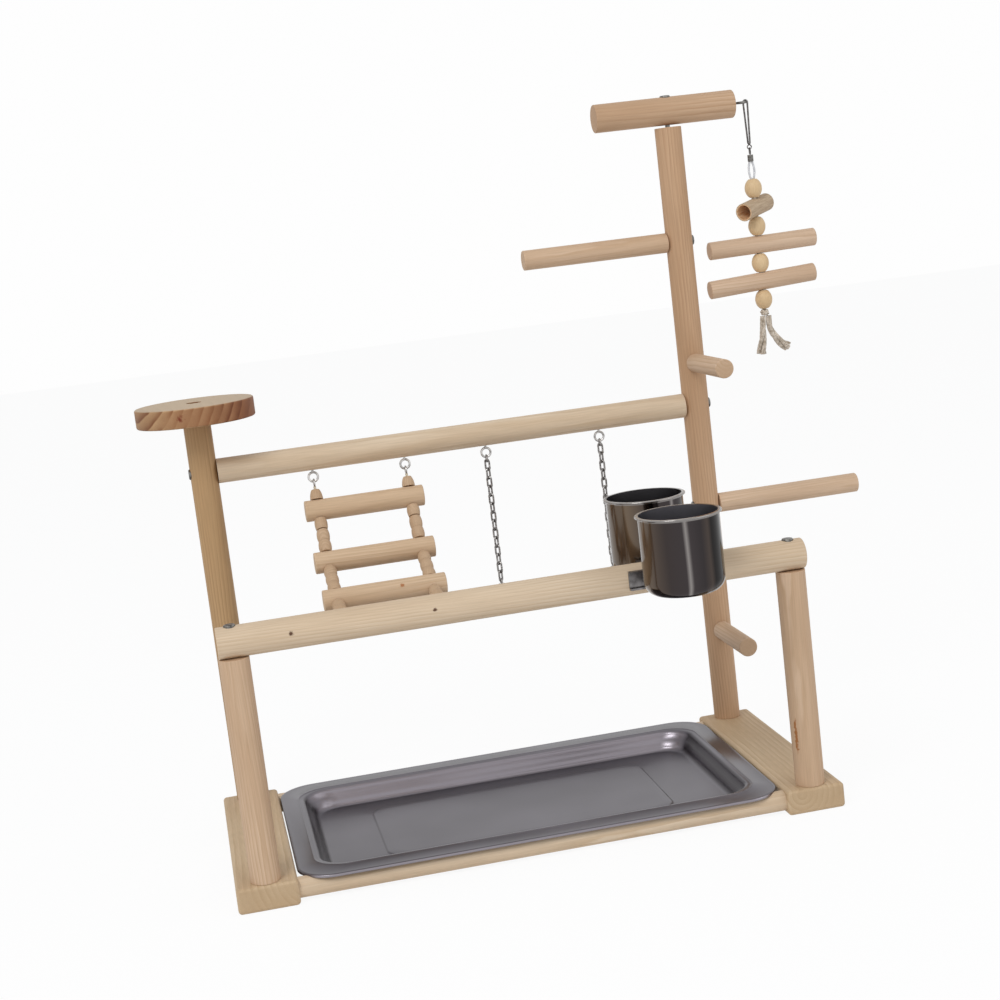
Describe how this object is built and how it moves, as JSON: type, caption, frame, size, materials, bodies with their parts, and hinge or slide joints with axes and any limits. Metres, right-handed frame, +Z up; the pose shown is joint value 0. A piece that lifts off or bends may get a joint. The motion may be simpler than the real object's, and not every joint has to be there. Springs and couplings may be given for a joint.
{
  "type": "parrot play stand",
  "caption": "Table-top wooden play stand for parrots: dowel frame with perches, a round platform, steel cups and tray, a rung bridge, a chain swing and a hanging chew toy.",
  "frame": {"origin": "on the floor, at the centre of the rectangle that the two base blocks span", "axes": "+X to the right and +Y to the back as seen from the side with the front cup, +Z up"},
  "size_m": [0.6242, 0.3437, 0.574],
  "materials": {
    "pale_pine": "sanded bare pine",
    "post_pine": "sanded bare pine, warmer in tone",
    "block_pine": "sanded bare pine with end grain",
    "platform_wood": "sanded wood with strong growth rings",
    "bead_wood": "turned wood",
    "toy_bead_wood": "turned wood",
    "toy_stick_wood": "sanded wood",
    "toy_tube_wood": "bare bark-coloured wood tube",
    "tray_steel": "satin",
    "cup_steel": "polished",
    "bracket_steel": "satin",
    "zinc_hardware": "bright zinc",
    "chain_steel": "bright nickel",
    "cotton_rope": "twisted cotton",
    "clear_cord": "clear nylon"
  },
  "bodies": {
    "root": {"base_block_left": "block_pine", "base_block_right": "block_pine", "front_tray_dowel": "post_pine", "rear_tray_dowel": "post_pine", "post_front_left": "post_pine", "post_front_right": "post_pine", "post_rear_left": "post_pine", "post_rear_right": "post_pine", "front_rail": "pale_pine", "upper_rail": "pale_pine", "top_perch": "post_pine", "top_perch_screw": "zinc_hardware", "left_perch": "pale_pine", "right_perch": "pale_pine", "upper_peg": "pale_pine", "lower_peg": "pale_pine", "perch_platform": "platform_wood", "platform_bolt": "zinc_hardware", "frame_screws": "zinc_hardware", "ladder_screw_eyes_upper": "zinc_hardware", "ladder_screw_eyes_lower": "zinc_hardware", "swing_screw_eyes": "zinc_hardware", "toy_screw_eye": "zinc_hardware", "front_cup_bracket": "bracket_steel", "rear_cup_bracket": "bracket_steel", "cup_bracket_bolts": "zinc_hardware", "cup_bracket_nuts": "zinc_hardware"},
    "tray": {"tray": "tray_steel"},
    "front_cup": {"front_cup": "cup_steel"},
    "rear_cup": {"rear_cup": "cup_steel"},
    "ladder_upper": {"ladder_hooks_upper": "zinc_hardware", "ladder_strings_upper": "cotton_rope", "ladder_beads_upper": "bead_wood", "ladder_rung_1": "pale_pine"},
    "ladder_middle": {"ladder_strings_middle": "cotton_rope", "ladder_beads_middle": "bead_wood", "ladder_rung_2": "pale_pine", "ladder_rung_3": "pale_pine", "ladder_rung_4": "pale_pine"},
    "ladder_lower": {"ladder_strings_lower": "cotton_rope", "ladder_beads_lower": "bead_wood", "ladder_rung_5": "pale_pine", "ladder_hooks_lower": "zinc_hardware"},
    "swing_chains": {"swing_chain_left": "chain_steel", "swing_chain_right": "chain_steel"},
    "swing_perch": {"swing_perch": "pale_pine", "swing_perch_eyes": "zinc_hardware"},
    "toy_hook": {"toy_snap_hook": "zinc_hardware"},
    "toy_string": {"toy_link": "zinc_hardware", "toy_ferrule": "zinc_hardware", "toy_loop": "clear_cord", "toy_beads": "toy_bead_wood", "toy_rope": "cotton_rope", "toy_knot": "cotton_rope", "toy_tail_left": "cotton_rope", "toy_tail_right": "cotton_rope"},
    "toy_tube": {"toy_tube": "toy_tube_wood"},
    "toy_upper_stick": {"toy_stick_upper": "toy_stick_wood"},
    "toy_lower_stick": {"toy_stick_lower": "toy_stick_wood"}
  },
  "joints": [
    {"name": "tray_lift", "type": "slide", "parent": "root", "child": "tray", "axis": [0, 0, 1], "range_m": [0, 0.06]},
    {"name": "front_cup_lift", "type": "slide", "parent": "root", "child": "front_cup", "axis": [0, 0, 1], "range_m": [0, 0.03]},
    {"name": "rear_cup_lift", "type": "slide", "parent": "root", "child": "rear_cup", "axis": [0, 0, 1], "range_m": [0, 0.03]},
    {"name": "ladder_sway", "type": "hinge", "parent": "root", "child": "ladder_upper", "pos_m": [-0.086, 0.107, 0.2855], "axis": [1, 0, 0], "range_deg": [-6, 6], "stiffness_Nm_per_rad": 0.1, "springref_deg": 2.66},
    {"name": "ladder_upper_bend", "type": "hinge", "parent": "ladder_upper", "child": "ladder_middle", "pos_m": [-0.086, 0.08609, 0.24613], "axis": [1, 0, 0], "range_deg": [-8.7, 8.7]},
    {"name": "ladder_lower_bend", "type": "hinge", "parent": "ladder_middle", "child": "ladder_lower", "pos_m": [-0.086, -0.05216, 0.19159], "axis": [1, 0, 0], "range_deg": [-9.7, 9.7]},
    {"name": "swing_sway", "type": "hinge", "parent": "root", "child": "swing_chains", "pos_m": [0.07575, 0.107, 0.2855], "axis": [1, 0, 0], "range_deg": [-60, 60]},
    {"name": "swing_perch_tilt", "type": "hinge", "parent": "swing_chains", "child": "swing_perch", "pos_m": [0.07575, 0.107, 0.17275], "axis": [1, 0, 0], "range_deg": [-45, 45]},
    {"name": "toy_sway", "type": "hinge", "parent": "root", "child": "toy_hook", "pos_m": [0.288, 0.107, 0.5608], "axis": [0, 1, 0], "range_deg": [-40, 3]},
    {"name": "toy_string_sway", "type": "hinge", "parent": "toy_hook", "child": "toy_string", "pos_m": [0.288, 0.107, 0.5207], "axis": [1, 0, 0], "range_deg": [-45, 45]},
    {"name": "toy_tube_spin", "type": "hinge", "parent": "toy_string", "child": "toy_tube", "pos_m": [0.288, 0.107, 0.4703], "axis": [0, 0, 1], "continuous": true},
    {"name": "toy_upper_stick_spin", "type": "hinge", "parent": "toy_string", "child": "toy_upper_stick", "pos_m": [0.288, 0.107, 0.4378], "axis": [0, 0, 1], "continuous": true},
    {"name": "toy_lower_stick_spin", "type": "hinge", "parent": "toy_string", "child": "toy_lower_stick", "pos_m": [0.288, 0.107, 0.4057], "axis": [0, 0, 1], "continuous": true}
  ],
  "couplings": [
    {"joint": "ladder_upper_bend", "follows": "ladder_sway", "ratio": -1.4285},
    {"joint": "ladder_lower_bend", "follows": "ladder_sway", "ratio": 1.5956}
  ]
}
